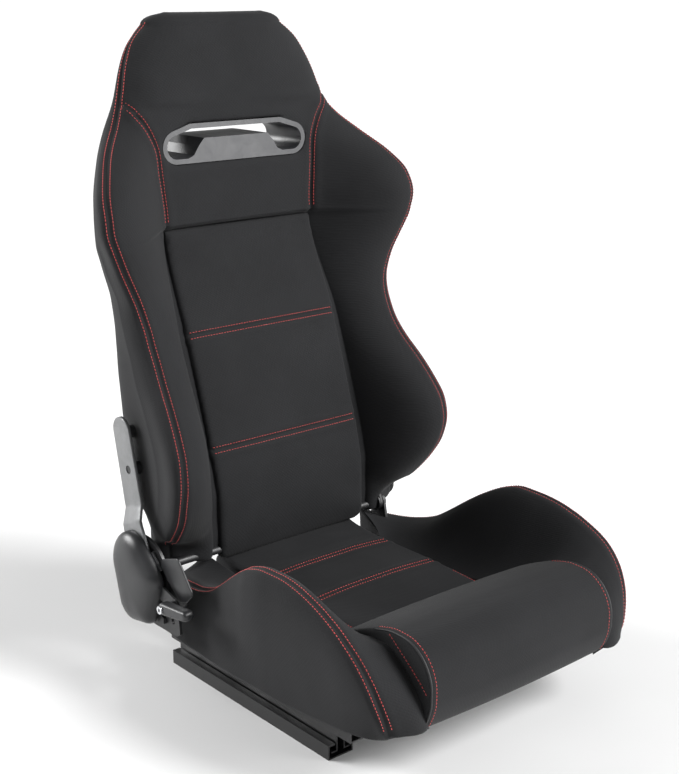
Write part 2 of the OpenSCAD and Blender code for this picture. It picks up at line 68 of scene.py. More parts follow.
# Front face and rear face on the middle plane
FRONT_Y = [[148, 164], [170, 163], [196, 164], [226, 164], [255, 168], [310, 183], [462, 233], [604, 285],
           [650, 288], [690, 290], [725, 293], [760, 297], [800, 303], [850, 314], [880, 323]]
REAR_Y = [[165, 236], [210, 266], [270, 292], [330, 310], [400, 323], [480, 337], [540, 350], [600, 361],
          [680, 369], [780, 372], [840, 369], [880, 361]]
# Front edge of the wings, where the two fabrics meet
SEAM_X = [[165, 204], [180, 214], [210, 222], [240, 227], [270, 233], [300, 234], [330, 232], [360, 227],
          [390, 221], [420, 214], [450, 210], [480, 210], [510, 215], [540, 226], [570, 241], [600, 255],
          [630, 263], [660, 260], [690, 244], [720, 218], [750, 190], [776, 175], [800, 168], [822, 161],
          [842, 152], [862, 140], [880, 118]]
SEAM_Y = [[165, 184], [180, 172], [210, 142], [240, 118], [270, 103], [300, 97], [330, 102], [360, 120],
          [390, 144], [420, 172], [450, 193], [480, 207], [510, 215], [540, 216], [570, 212], [600, 207],
          [630, 207], [660, 217], [690, 242], [720, 277], [750, 304], [776, 317], [800, 322], [842, 333],
          [880, 343]]
# Widest place of the flank
SIDE_X = [[165, 224], [210, 235], [270, 240], [330, 241], [400, 236], [450, 230], [510, 231], [570, 250],
          [630, 268], [660, 265], [690, 250], [720, 225], [750, 198], [776, 181], [800, 173], [842, 157],
          [862, 145], [880, 122]]
# Seam between the front panel and the wing
ROOT_X = [[150, 143], [300, 145], [450, 143], [540, 135], [604, 130], [625, 130], [650, 132], [690, 136],
          [710, 136], [730, 143], [750, 153], [768, 165], [778, 176]]
# How far the flank may stand out: largest x + FLANK_SLOPE * y at each height
FLANK = [[165, 380], [300, 380], [364, 383], [408, 386], [465, 389], [521, 396], [566, 405], [599, 412],
         [637, 413], [696, 405], [741, 393], [786, 374], [817, 365], [848, 352], [880, 326]]
FLANK_SLOPE = 0.588
# How far the rear corner is rounded inboard of the flank
BACK_ROUND = [[150, 26], [190, 26], [215, 30], [260, 44], [300, 51], [330, 58], [440, 50], [480, 56],
              [520, 60], [560, 66], [880, 66]]


def smooth(run, q):
    """Value of a smooth curve through the run's points at q (an array), without overshoot."""
    x, y = np.array(run, float).T
    h = np.diff(x)
    slope = np.diff(y) / h
    m = np.zeros(len(x))
    inner = slope[:-1] * slope[1:] > 0
    w1, w2 = 2 * h[1:] + h[:-1], h[1:] + 2 * h[:-1]
    with np.errstate(divide="ignore", invalid="ignore"):
        mean = (w1 + w2) / (w1 / slope[:-1] + w2 / slope[1:])
    m[1:-1] = np.where(inner, mean, 0)
    m[0], m[-1] = slope[0], slope[-1]
    q = np.clip(np.asarray(q, float), x[0], x[-1])
    k = np.clip(np.searchsorted(x, q) - 1, 0, len(x) - 2)
    t = (q - x[k]) / h[k]
    a, b = y[k], y[k + 1]
    ta, tb = m[k] * h[k], m[k + 1] * h[k]
    return ((2 * t**3 - 3 * t**2 + 1) * a + (t**3 - 2 * t**2 + t) * ta
            + (3 * t**2 - 2 * t**3) * b + (t**3 - t**2) * tb)


def soften(values, passes):
    """Averages neighbours, keeping the ends, to take the corners off a sampled curve."""
    v = np.array(values, float)
    for _ in range(passes):
        v[1:-1] = 0.25 * v[:-2] + 0.5 * v[1:-1] + 0.25 * v[2:]
    return v


def unit(v):
    return v / np.maximum(np.linalg.norm(v, axis=-1, keepdims=True), 1e-9)


def bezier(p0, p1, p2, p3, t):
    """Rows of cubic curves: each p is (rows, 3) and t is (steps,); returns (rows, steps, 3)."""
    t = t[None, :, None]
    p0, p1, p2, p3 = (p[:, None, :] for p in (p0, p1, p2, p3))
    return (1 - t) ** 3 * p0 + 3 * (1 - t) ** 2 * t * p1 + 3 * (1 - t) * t**2 * p2 + t**3 * p3


def eased(n, lean=0.75):
    """n + 1 steps from 0 to 1, closer together at both ends."""
    t = np.linspace(0, 1, n + 1)
    return (1 - lean) * t + lean * (0.5 - 0.5 * np.cos(math.pi * t))


# ---- mesh helpers

WELD = 0.25 * MM


def new_mesh(name, points, faces, zones=None):
    """A mesh piece; zones gives the material of each face."""
    me = bpy.data.meshes.new(name)
    me.from_pydata([tuple(p) for p in points], [], [tuple(int(i) for i in f) for f in faces])
    if zones is not None:
        me.polygons.foreach_set("material_index", np.asarray(zones, np.int32))
    ob = bpy.data.objects.new(name, me)
    bpy.context.scene.collection.objects.link(ob)
    return ob


def clean(ob):
    """Welds doubled points, drops empty faces and turns all faces outward."""
    bm = bmesh.new()
    bm.from_mesh(ob.data)
    bmesh.ops.remove_doubles(bm, verts=bm.verts, dist=WELD)
    bmesh.ops.dissolve_degenerate(bm, edges=bm.edges, dist=WELD * 0.4)
    bmesh.ops.recalc_face_normals(bm, faces=bm.faces)
    bm.to_mesh(ob.data)
    bm.free()
    ob.data.shade_smooth()
    return ob


def modify(ob, kind, **settings):
    """Adds a modifier and applies it."""
    bpy.context.view_layer.objects.active = ob
    mod = ob.modifiers.new(kind.lower(), kind)
    for key, value in settings.items():
        setattr(mod, key, value)
    bpy.ops.object.modifier_apply(modifier=mod.name)


def ring_quads(a, b, n):
    """Faces between two rings of n points that start at a and b."""
    return [(a + i, a + (i + 1) % n, b + (i + 1) % n, b + i) for i in range(n)]


def loop_loft(name, grid, zone_of_column=None):
    """A skin over rows of closed loops, capped by fans at both ends. grid is (rows, columns, 3)."""
    rows, cols = grid.shape[:2]
    zone = [0] * cols if zone_of_column is None else zone_of_column
    points = list(grid.reshape(-1, 3))
    faces, zones = [], []
    for j in range(rows - 1):
        faces += ring_quads(j * cols, (j + 1) * cols, cols)
        zones += list(zone)
    for row, flip in ((0, True), (rows - 1, False)):
        centre = len(points)
        points.append(grid[row].mean(0))
        for i in range(cols):
            a, b = row * cols + i, row * cols + (i + 1) % cols
            faces.append((a, centre, b) if flip else (a, b, centre))
        zones += list(zone)
    return clean(new_mesh(name, points, faces, zones))


def vertex_arrays(ob):
    """Places and normals of a piece's points."""
    me = ob.data
    co = np.empty(len(me.vertices) * 3)
    me.vertices.foreach_get("co", co)
    no = np.empty(len(me.vertices) * 3)
    me.vertex_normals.foreach_get("vector", no)
    return co.reshape(-1, 3), no.reshape(-1, 3)


def set_vertices(ob, co):
    ob.data.vertices.foreach_set("co", np.asarray(co, float).ravel())
    ob.data.update()


def distance_to_line(points, line):
    """Distance from each point to a polyline, checked in chunks."""
    best = np.full(len(points), 9.0)
    a, d = line[:-1], np.diff(line, axis=0)
    length2 = np.maximum((d * d).sum(1), 1e-12)
    chunk = 4000
    for start in range(0, len(points), chunk):
        p = points[start:start + chunk, None, :]
        t = np.clip(((p - a) * d).sum(2) / length2, 0, 1)
        gap = np.linalg.norm(p - (a + t[..., None] * d), axis=2)
        best[start:start + chunk] = gap.min(1)
    return best


def sew(ob, line, depth=2.0 * MM, width=2.6 * MM, puff=0.0, puff_at=14 * MM):
    """Presses a sewn channel into the surface along a line, with the foam standing up beside it."""
    co, no = vertex_arrays(ob)
    centre = line.mean(0)
    near = np.linalg.norm(co - centre, axis=1) < np.linalg.norm(line - centre, axis=1).max() + 0.06
    gap = np.full(len(co), 9.0)
    gap[near] = distance_to_line(co[near], line)
    press = -depth * np.exp(-(gap / width) ** 2)
    swell = puff * np.exp(-((gap - puff_at) / (0.6 * puff_at)) ** 2)
    set_vertices(ob, co + no * (press + swell)[:, None])


def run_of(line):
    """Length from the start of a polyline to each of its points."""
    return np.concatenate([[0], np.cumsum(np.linalg.norm(np.diff(line, axis=0), axis=1))])


def at_run(q, run, values):
    """Rows of values at the lengths q."""
    return np.stack([np.interp(q, run, column) for column in values.T], 1)


def at_x(x, yz):
    """Points y, z placed at one x."""
    return np.column_stack([np.full(len(yz), x), yz])


def along(line, step):
    """Points a fixed step apart along a polyline."""
    run = run_of(line)
    return at_run(np.linspace(0, run[-1], max(2, int(run[-1] / step))), run, line)


class Surface:
    """Nearest points and normals on one or more meshes."""

    def __init__(self, *obs):
        points, faces = [], []
        for ob in obs:
            base = len(points)
            points += [v.co.copy() for v in ob.data.vertices]
            faces += [[base + i for i in p.vertices] for p in ob.data.polygons]
        self.tree = BVHTree.FromPolygons(points, faces)

    def snap(self, line, reach=0.03):
        spots, normals = [], []
        for p in line:
            co, no, _, _ = self.tree.find_nearest(Vector(p), reach)
            spots.append(np.array(p if co is None else co))
            normals.append(np.array((0, 0, 1) if no is None else no))
        return np.array(spots), unit(np.array(normals))

    def drop(self, p, n):
        """Where a ray from outside meets the surface above or below the point p."""
        n = Vector(n)
        hit = self.tree.ray_cast(Vector(p) + 6 * MM * n, -n, 14 * MM)[0]
        return np.array(hit if hit is not None else p)


STITCH_PITCH = 4.6 * MM
STITCH_LENGTH = 3.3 * MM
THREAD_R = 0.50 * MM
THREAD_SIDES = 6
THREAD_ANGLES = [2 * math.pi * j / THREAD_SIDES for j in range(THREAD_SIDES)]
# Height and thickness of the thread along one stitch
THREAD_LIFT = np.array([-0.4, 0.45, 0.65, 0.45, -0.4]) * THREAD_R
THREAD_THICK = np.array([0.45, 0.95, 1.0, 0.95, 0.45]) * THREAD_R


def beside(surface, line, offset, start=0.0, end=1.0):
    """A line parallel to another on a surface, offset to its left as seen from outside, with its normals."""
    fine = along(line, 1.5 * MM)
    fine = fine[int(start * (len(fine) - 1)):int(end * (len(fine) - 1)) + 1]
    spots, normals = surface.snap(fine)
    normals = unit(soften(normals, 12))
    side = unit(np.cross(normals, unit(np.gradient(soften(spots, 6), axis=0))))
    spots, normals = surface.snap(soften(spots + offset * side, 8))
    return soften(spots, 3), unit(soften(normals, 12))


def stitch_row(surface, row, store):
    """Lays separate thread stitches along a row (line and normals), dropped onto the sewn surface."""
    spots, normals = row
    spots = soften(np.array([surface.drop(p, n) for p, n in zip(spots, normals)]), 2)
    run = run_of(spots)
    sides, rings = THREAD_SIDES, len(THREAD_LIFT)
    for k in range(int(run[-1] / STITCH_PITCH)):
        s0 = (k + 0.15 + 0.06 * rng.random()) * STITCH_PITCH
        q = np.linspace(s0, s0 + STITCH_LENGTH, rings)
        centre = at_run(q, run, spots)
        up = unit(at_run(q, run, normals))
        cross = unit(np.cross(unit(np.gradient(centre, axis=0)), up))
        base = len(store["points"])
        for c, u, s, lift, thick in zip(centre, up, cross, THREAD_LIFT, THREAD_THICK):
            store["points"] += [c + u * (lift + thick * math.sin(a)) + s * thick * math.cos(a)
                                for a in THREAD_ANGLES]
        last = base + (rings - 1) * sides
        for start in range(base, last, sides):
            store["faces"] += ring_quads(start, start + sides, sides)
        store["faces"] += [tuple(range(base, base + sides))[::-1], tuple(range(last, last + sides))]


def double_seam(ob, line, inner, outer, store, start=0.0, end=1.0, depth=1.6 * MM, puff=0.8 * MM):
    """A sewn channel between two rows of stitches; inner and outer are their offsets from the line."""
    smooth_skin = Surface(ob)
    rows = [beside(smooth_skin, line, d, start, end) for d in (inner, outer)]
    channel = beside(smooth_skin, line, 0.5 * (inner + outer))[0]
    sew(ob, channel, depth, 2.2 * MM, puff, 9 * MM)
    sewn_skin = Surface(ob)
    for row in rows:
        stitch_row(sewn_skin, row, store)


def tube(name, line, radius):
    """A round cord of ten sides swept along a polyline, closed at both ends."""
    go = unit(np.gradient(line, axis=0))
    up = unit(np.cross(go, np.array([0.3, 0.2, 0.93])))
    across = np.cross(go, up)
    angle = np.linspace(0, 2 * math.pi, 10, endpoint=False)
    ring = up[:, None, :] * np.cos(angle)[None, :, None] + across[:, None, :] * np.sin(angle)[None, :, None]
    return loop_loft(name, line[:, None, :] + radius * ring)


def mirrored(line):
    return line * np.array([-1, 1, 1])


# ---- backrest shell

LOW, TOP = 148, 880
FRONT_STEPS, WING_STEPS, SIDE_STEPS, REAR_STEPS = 22, 30, 26, 16
# How far the panel behind the middle pad lies back
RECESS = 14 * MM
# Rise of the lower edge for each unit of depth behind UNDERCUT_Y
UNDERCUT, UNDERCUT_Y = 0.56, 150 * MM
# Head panel, below which the front panel and the wings are separate
HEAD_LOW = 764


def backrest_half(z):
    """Half sections of the backrest at heights z (mm), from the middle of the front round to the rear."""
    zm = z * MM
    root = np.stack([smooth(ROOT_X, z), smooth(FRONT_Y, z), z], 1) * MM
    seam = np.stack([soften(smooth(SEAM_X, z), 3), soften(smooth(SEAM_Y, z), 3), z], 1) * MM
    side_x, rear_y = smooth(SIDE_X, z) * MM, smooth(REAR_Y, z) * MM
    head = np.clip((z - HEAD_LOW) / 14, 0, 1)[:, None]
    under_pad = np.clip((PAD_TOP / MM + 4 - z) / 6, 0, 1)[:, None]
    root = root * (1 - head) + seam * head
    root[:, 1] += under_pad[:, 0] * 10 * MM
    middle = np.stack([0 * zm, smooth(FRONT_Y, z) * MM + under_pad[:, 0] * RECESS, zm], 1)
    out = np.stack([side_x, seam[:, 1] + 0.30 * (rear_y - seam[:, 1]), zm], 1)
    corner = np.stack([np.maximum(side_x - smooth(BACK_ROUND, z) * MM, 0.55 * side_x), rear_y, zm], 1)
    back = np.stack([0 * zm, rear_y + 3 * MM, zm], 1)

    x_dir, y_dir = np.array([1.0, 0, 0]), np.array([0, 1.0, 0])
    panel_w = root[:, :1]
    toward_side = unit(out - seam)
    wing_dir = unit(seam - root + 1e-6 * x_dir)
    wing_len = np.linalg.norm(seam - root, axis=1, keepdims=True)
    crest_wing = unit(wing_dir + 0.85 * toward_side)
    crest_head = unit(x_dir * 0.75 + y_dir * 0.9)
    crest = unit(crest_wing * (1 - head) + crest_head * head)
    panel_end = unit(x_dir * (1 - head) + crest_head * head)
    lower = np.clip((PAD_TOP / MM + 10 - z) / 60, 0, 1)[:, None]
    roll = np.clip((560 - z) / 140, 0, 1)[:, None]
    lean = (0.25 + 0.45 * lower) * -y_dir + 0.15 * x_dir
    wing_start = unit((wing_dir + lean) * (1 - roll) + unit(wing_dir - 1.8 * y_dir) * roll)

    panel = bezier(middle, middle + 0.4 * panel_w * x_dir,
                   root - (0.16 + 0.1 * head) * panel_w * panel_end, root, eased(FRONT_STEPS, 0.6))
    wing = bezier(root, root + 0.36 * wing_len * wing_start, seam - 0.30 * wing_len * crest, seam,
                  eased(WING_STEPS))
    depth = (out[:, 1:2] - seam[:, 1:2])
    side = bezier(seam, seam + 0.5 * depth * crest, out - 0.45 * depth * y_dir, out, eased(SIDE_STEPS, 0.7))
    turn = 0.3 * np.linalg.norm(corner - out, axis=1, keepdims=True)
    rear_side = bezier(out, out + turn * unit(y_dir - 0.25 * x_dir),
                       corner + turn * unit(x_dir - 0.12 * y_dir), corner, eased(SIDE_STEPS // 2 + 3, 0.3))
    rear = bezier(corner, corner - 0.3 * corner[:, :1] * x_dir, back + 0.3 * corner[:, :1] * x_dir, back,
                  eased(REAR_STEPS, 0.2))
    half = np.concatenate([panel[:, :-1], wing[:, :-1], side[:, :-1], rear_side[:, :-1], rear], 1)
    slack = 6 * MM
    over = half[:, :, 0] + FLANK_SLOPE * half[:, :, 1] - smooth(FLANK, z)[:, None] * MM
    over = np.where(over > slack, over, np.maximum(over + slack, 0) ** 2 / (4 * slack))
    flank = np.arange(half.shape[1]) >= FRONT_STEPS + WING_STEPS
    half[:, :, 0] -= np.where(flank[None, :], np.minimum(over, half[:, :, 0]), 0)
    return half, root


def close_end(ring, rise, steps, inset):
    """Rounded rings that carry a loop over its open end."""
    rings = []
    mid_y = 0.5 * (ring[:, 1].min() + ring[:, 1].max())
    for k in range(1, steps + 1):
        a = 0.5 * math.pi * k / steps * 0.985
        r = ring.copy()
        r[:, 1] = mid_y + (ring[:, 1] - mid_y) * math.cos(a)
        reach = np.abs(ring[:, 0]).max()
        r[:, 0] = ring[:, 0] * (1 - inset * (1 - math.cos(a)) / reach)
        r[:, 2] += rise * math.sin(a)
        rings.append(r)
    return rings


def build_backrest():
    """The whole cover of the backrest, the line of its panel seam and the line of its wing seam."""
    z = np.concatenate([np.linspace(LOW, 590, 104)[:-1], np.linspace(590, 620, 17)[:-1],
                        np.linspace(620, TOP, 74)])
    half, root = backrest_half(z)
    loop = np.concatenate([half, mirrored(half[:, -2:0:-1])], 1)
    top = close_end(loop[-1], 16.5 * MM, 9, 44 * MM)
    bottom = close_end(loop[0], -18 * MM, 8, 22 * MM)
    grid = np.concatenate([np.array(bottom[::-1]), loop, np.array(top)])
    fade = np.clip((0.26 - grid[:, :, 2]) / 0.07, 0, 1)
    grid[:, :, 2] += fade * UNDERCUT * np.maximum(grid[:, :, 1] - UNDERCUT_Y, 0)
    cols = grid.shape[1]
    front_edge = FRONT_STEPS + WING_STEPS
    zone = np.zeros(cols, int)
    zone[front_edge:cols - front_edge] = 1
    shell = loop_loft("backrest_cover", grid, zone)
    root_line = soften(root[(z > PAD_TOP / MM) & (z < 777)], 20)
    seam_line = grid[2:len(bottom) + len(z) + 7, front_edge]
    return shell, root_line, seam_line


# ---- padded inserts

PAD_THICK = 22 * MM
PAD_CORNER = 9 * MM
PAD_STEP = 5 * MM
# Voxel of the remesh before the cloth simulation, its last frame and its settings
VOXEL, LAST_FRAME = 5 * MM, 20
CLOTH = {"use_pressure": True, "uniform_pressure_force": 4.0, "quality": 5, "tension_stiffness": 12,
         "compression_stiffness": 12, "bending_stiffness": 2, "mass": 0.3, "vertex_group_mass": "pins"}
# Sewn bars across the pads: heights on the back, depths on the cushion, and distance between the two rows
BACK_BARS, SEAT_BARS, BAR_GAP = (462, 306), (91, -7.5), 8.5 * MM


def rounded_pad(name, half_w, rows, round_end=16 * MM, flare=0.0):
    """A thin closed block that follows rows of points (y, z) along its middle, with its back behind them."""
    step, corner = PAD_STEP, PAD_CORNER
    path = along(np.array([(0, y, z) for y, z in rows]), step)
    from_end = np.arange(len(path))[::-1] * step
    narrow = half_w - round_end * (1 - np.sqrt(1 - np.clip(1 - from_end / round_end, 0, 1) ** 2))
    narrow += flare * np.clip(np.arange(len(path)) * step / (110 * MM), 0, 1)
    go = unit(np.gradient(path, axis=0))
    out = np.cross(go, np.array([1.0, 0, 0]))
    xs = np.linspace(-half_w, half_w, int(2 * half_w / step) + 1)
    points, faces = [], []
    n, m = len(path), len(xs)
    for layer in (0, 1):
        for j in range(n):
            for x in xs:
                edge_x = max(0, abs(x) - (half_w - corner)) / corner
                edge_p = max(0, max(corner / step - j, j - (n - 1 - corner / step))) * step / corner
                drop = 6 * MM * (1 - math.sqrt(max(0, 1 - 0.9 * min(1, edge_x**2 + edge_p**2))))
                depth = drop if layer == 0 else PAD_THICK
                points.append(path[j] + np.array([x * narrow[j] / half_w, 0, 0]) - out[j] * depth)
    for j in range(n - 1):
        for i in range(m - 1):
            a = j * m + i
            faces.append((a, a + 1, a + m + 1, a + m))
            b = a + n * m
            faces.append((b, b + m, b + m + 1, b + 1))
    border = (list(range(m)) + [j * m + m - 1 for j in range(1, n)]
              + [(n - 1) * m + i for i in range(m - 2, -1, -1)] + [j * m for j in range(n - 2, 0, -1)])
    faces += [(a, a + n * m, b + n * m, b) for a, b in zip(border, border[1:] + border[:1])]
    return clean(new_mesh(name, points, faces)), out.mean(0)


def inflate(ob, out, along_axis, half_w, cap):
    """Fills the pad like a sewn cushion by cloth simulation; its back and its sewn edges stay put."""
    modify(ob, "REMESH", mode="VOXEL", voxel_size=VOXEL)
    rest, normals = vertex_arrays(ob)
    run = rest[:, along_axis]
    edge = np.minimum(half_w - np.abs(rest[:, 0]), np.minimum(run - run.min(), run.max() - run))
    pins = ob.vertex_groups.new(name="pins")
    back = np.where((normals @ out < -0.5) | (edge < PAD_CORNER))[0]
    pins.add([int(i) for i in back], 1.0, "REPLACE")
    cloth = ob.modifiers.new("cloth", "CLOTH")
    for key, value in CLOTH.items():
        setattr(cloth.settings, key, value)
    cloth.settings.effector_weights.gravity = 0
    cloth.collision_settings.use_collision = False
    cloth.point_cache.frame_start = 1
    cloth.point_cache.frame_end = LAST_FRAME
    for f in range(1, LAST_FRAME + 1):
        bpy.context.scene.frame_set(f)
    bpy.ops.object.modifier_apply(modifier=cloth.name)
    moved, _ = vertex_arrays(ob)
    shift = moved - rest
    size = np.linalg.norm(shift, axis=1, keepdims=True)
    shift *= np.minimum(1, cap / np.maximum(size, 1e-9))
    set_vertices(ob, rest + shift)
    bpy.context.scene.frame_set(1)
    modify(ob, "SUBSURF", levels=1, render_levels=1)
    ob.data.shade_smooth()


def sewn_bars(ob, places, half_w, store):
    """A channel across the pad at each place, with a row of stitches on both sides of it."""
    for y, z in places:
        across = np.array([(x, y, z) for x in np.linspace(-half_w, half_w, 60)])
        line = Surface(ob).snap(across, 0.06)[0]
        double_seam(ob, line, -0.5 * BAR_GAP, 0.5 * BAR_GAP, store, 0.004, 0.996, 2.0 * MM, 1.0 * MM)


def build_back_insert(store):
    """Middle pad of the backrest; it lies on the front panel and turns back under its lower edge."""
    z = np.linspace(PAD_TOP / MM - 1, 139, 34)
    y = smooth(FRONT_Y, z) + 1.5 + 0.03 * np.maximum(160 - z, 0) ** 2
    pad, out = rounded_pad("back_insert_pad", PAD_HALF + 2 * MM, np.stack([y, z], 1) * MM, flare=4 * MM)
    inflate(pad, out, 2, PAD_HALF + 6 * MM, 3.5 * MM)
    places = [(smooth(FRONT_Y, [q])[0] * MM, q * MM) for q in BACK_BARS]
    sewn_bars(pad, places, PAD_HALF + 6 * MM, store)
    return pad


def build_seat_insert(store):
    """Flat middle pad of the cushion, which rises a little at its rear edge."""
    y = np.linspace(-118, 198, 32)
    z = seat_high.z / MM - 4 - 0.00025 * np.minimum(y - 30, 0) ** 2 + 0.0011 * np.maximum(y - 96, 0) ** 2
    pad = rounded_pad("cushion_insert_pad", SEAT_HALF + 2 * MM, np.stack([y, z], 1)[::-1] * MM, 4 * MM)[0]
    inflate(pad, np.array([0, 0, 1.0]), 1, SEAT_HALF + 2 * MM, 4 * MM)
    sewn_bars(pad, [(q * MM, seat_high.z - 3 * MM) for q in SEAT_BARS], SEAT_HALF, store)
    for side in (1, -1):
        hem = np.array([[side * 0.115, y, seat_high.z - 3 * MM] for y in np.linspace(-0.104, -0.045, 16)])
        skin = Surface(pad)
        stitch_row(skin, beside(skin, hem, 0.0), store)
    return pad


# ---- cushion bolsters and front roll
# The lines of a bolster run from the rear over the hump and down the front; each entry is x, y, z in
# millimetres. CREST is its sewn edge, INNER and OUTER are the lower edges of its two faces.

CREST = [[198, 190, 126], [205, 140, 134], [211, 110, 141], [214, 80, 152], [217, 50, 172], [220, 20, 194],
         [226, -10, 214], [234, -40, 229], [236, -70, 236], [235, -100, 236], [236, -130, 233],
         [237, -160, 226], [238, -190, 215], [239, -220, 199], [236, -248, 172], [229, -266, 136],
         [219, -273, 102], [212, -271, 84]]
INNER = [[146, 190, 153], [135, 140, 138], [124, 110, 125], [124, 80, 124], [124, 50, 124], [124, 20, 124],
         [124, -10, 124], [124, -40, 124], [125, -70, 125], [130, -100, 130], [142, -130, 141],
         [154, -160, 156], [162, -190, 170], [165, -218, 172], [165, -243, 157], [165, -266, 134],
         [164, -282, 110], [160, -288, 88]]
OUTER = [[216, 190, 55], [222, 140, 56], [225, 110, 58], [228, 80, 60], [231, 50, 61], [234, 20, 63],
         [236, -10, 65], [237, -40, 67], [238, -70, 68], [238, -100, 69], [237, -130, 71], [236, -160, 73],
         [234, -190, 75], [232, -215, 77], [228, -235, 78], [222, -250, 78], [214, -260, 78],
         [206, -266, 79]]
# Section of the front roll as y, z
ROLL = [[-103, 122], [-108, 134], [-120, 146], [-138, 157], [-160, 168], [-180, 177], [-205, 186],
        [-230, 191], [-252, 190], [-270, 183], [-284, 171], [-293, 156], [-297, 140], [-297, 122],
        [-292, 102], [-282, 84], [-270, 80], [-200, 92], [-150, 88], [-104, 90]]


def resample(points, count, passes=4):
    """A smooth curve through the points, sampled evenly by their own spacing."""
    p = np.array(points, float)
    k = np.arange(len(p))
    q = np.linspace(0, len(p) - 1, count)
    out = np.stack([smooth(np.stack([k, p[:, c]], 1), q) for c in range(p.shape[1])], 1)
    return soften(out, passes)


def build_bolster(side):
    """Bolster on one side: inner face, sewn crest, outer face and base as one closed skin."""
    rows = 150
    crest, inner, outer = (resample(c, rows) * MM for c in (CREST, INNER, OUTER))
    base = outer.copy()
    base[:, 0] = np.minimum(outer[:, 0] - 8 * MM, 0.150)
    base[:, 2] = np.minimum(inner[:, 2] - 10 * MM, 0.085)
    base[:, 1] = inner[:, 1] * 0.6 + outer[:, 1] * 0.4
    to_crest, to_outer = unit(crest - inner), unit(outer - crest)
    span = np.linalg.norm(crest - inner, axis=1, keepdims=True)
    drop = np.linalg.norm(outer - crest, axis=1, keepdims=True)
    over = unit(to_crest + 0.9 * to_outer)
    swell = np.array([0.10, 0, 0])
    up = np.array([0, 0, 1.0])
    nose = np.clip((np.arange(rows) / rows - 0.78) / 0.12, 0, 1)[:, None]
    inner_start = unit(to_crest * 0.9 - (0.25 - 0.1 * nose) * up + nose * np.array([0, -0.9, 0]))
    face = bezier(inner, inner + 0.4 * span * inner_start, crest - 0.26 * span * over, crest, eased(30))
    flank = bezier(crest, crest + 0.16 * drop * over, outer - 0.4 * drop * unit(to_outer - swell), outer,
                   eased(26, 0.6))
    under, wall = (bezier(a, a + (b - a) * 0.3, a + (b - a) * 0.7, b, eased(8, 0))
                   for a, b in ((outer, base), (base, inner)))
    grid = np.concatenate([face[:, :-1], flank[:, :-1], under[:, :-1], wall[:, :-1]], 1)
    zone = np.zeros(grid.shape[1], int)
    zone[30:] = 1
    name = "cushion_bolster_cover_" + ("lh" if side > 0 else "rh")
    if side < 0:
        grid, crest = mirrored(grid), mirrored(crest)
    return loop_loft(name, grid, zone), crest


ROLL_HALF = 165 * MM
ROLL_ROUND = 6 * MM


def build_roll():
    """Front roll of the cushion with rounded ends, and the section where an end starts to round."""
    profile = resample(ROLL, 110, 2) * MM
    centre = profile.mean(0)
    flat = [(x, 0.0) for x in np.linspace(0, ROLL_HALF - ROLL_ROUND, 28)]
    ends = [(ROLL_HALF - ROLL_ROUND + ROLL_ROUND * math.sin(a), ROLL_ROUND * (1 - math.cos(a)))
            for a in np.linspace(0.2, 0.5 * math.pi, 7)]
    tangent = unit(np.roll(profile, -1, 0) - np.roll(profile, 1, 0))
    normal = np.stack([tangent[:, 1], -tangent[:, 0]], 1)
    if ((profile - centre) * normal).sum() < 0:
        normal = -normal
    rings = []
    for x, inset in flat + ends:
        crown = 3.0 * MM * (1 - (x / ROLL_HALF) ** 2)
        p = profile + normal * (crown - inset)
        rings.append(at_x(x, p))
    right = np.array(rings)
    grid = np.concatenate([mirrored(right[:0:-1]), right])
    ob = loop_loft("cushion_front_roll_cover", grid)
    for face in ob.data.polygons:
        face.material_index = int(abs(face.center.x) > ROLL_HALF - 3 * MM)
    return ob, right[len(flat) - 1]


def front_of_roll(arch, low):
    """The part of a section of the roll that shows at its front, from the crest down."""
    part = arch[(arch[:, 1] < -0.19) & (arch[:, 2] > low)]
    return part[np.argsort(np.arctan2(part[:, 2] - 0.13, -part[:, 1] - 0.20))[::-1]]


# Row of stitches down the end of the roll
CHORD = np.array([[165.6, -222, 187], [165.6, -247, 168], [165.6, -266, 153], [165.6, -280, 141],
                  [165.4, -292, 128]]) * MM


# ---- hard pieces that replace rough solids

# The dome's outline is the hull of these circles y, z, radius; its rim lies at COVER_X
COVER_CORNERS = [[189, 176, 41], [188, 113, 25], [158, 113, 20], [142, 160, 22]]
COVER_DEPTH = 24 * MM
COVER_X = 261 * MM


def hull_outline(circles, count):
    """Evenly spaced points round the convex outline of circles given as y, z, radius."""
    angle = np.linspace(0, 2 * math.pi, 720, endpoint=False)
    rim = np.concatenate([np.stack([y + r * np.cos(angle), z + r * np.sin(angle)], 1) for y, z, r in circles])
    bm = bmesh.new()
    for p in rim:
        bm.verts.new((*p, 0))
    bmesh.ops.convex_hull(bm, input=bm.verts)
    pts = np.array([v.co[:2] for v in bm.verts if v.link_faces])
    bm.free()
    centre = pts.mean(0)
    pts = pts[np.argsort(np.arctan2(pts[:, 1] - centre[1], pts[:, 0] - centre[0]))]
    ring = np.concatenate([pts, pts[:1]])
    run = run_of(ring)
    return at_run(np.linspace(0, run[-1], count, endpoint=False), run, ring) * MM


def build_recliner_cover():
    """Domed plastic cover: a shell with a straight skirt, a soft shoulder and a crowned face."""
    outline = hull_outline(COVER_CORNERS, 96)
    centre = outline.mean(0)
    steps = 22

    def crown(k, scale, start, depth):
        a = 0.5 * math.pi * k / steps
        return scale * math.cos(a) ** 0.75, start + depth * math.sin(a) ** 0.85

    rings = [crown(k, 0.93, COVER_X, COVER_DEPTH - 3 * MM) for k in range(20, 0, -2)]
    rings += [(0.93, COVER_X + 1 * MM), (0.955, COVER_X), (0.99, COVER_X), (1.0, COVER_X + 1 * MM)]
    rings += [crown(k, 1.0, COVER_X + 2 * MM, COVER_DEPTH - 2 * MM) for k in range(1, steps)]
    return loop_loft("recliner_dome", np.array([at_x(-x, centre + (outline - centre) * k) for k, x in rings]))


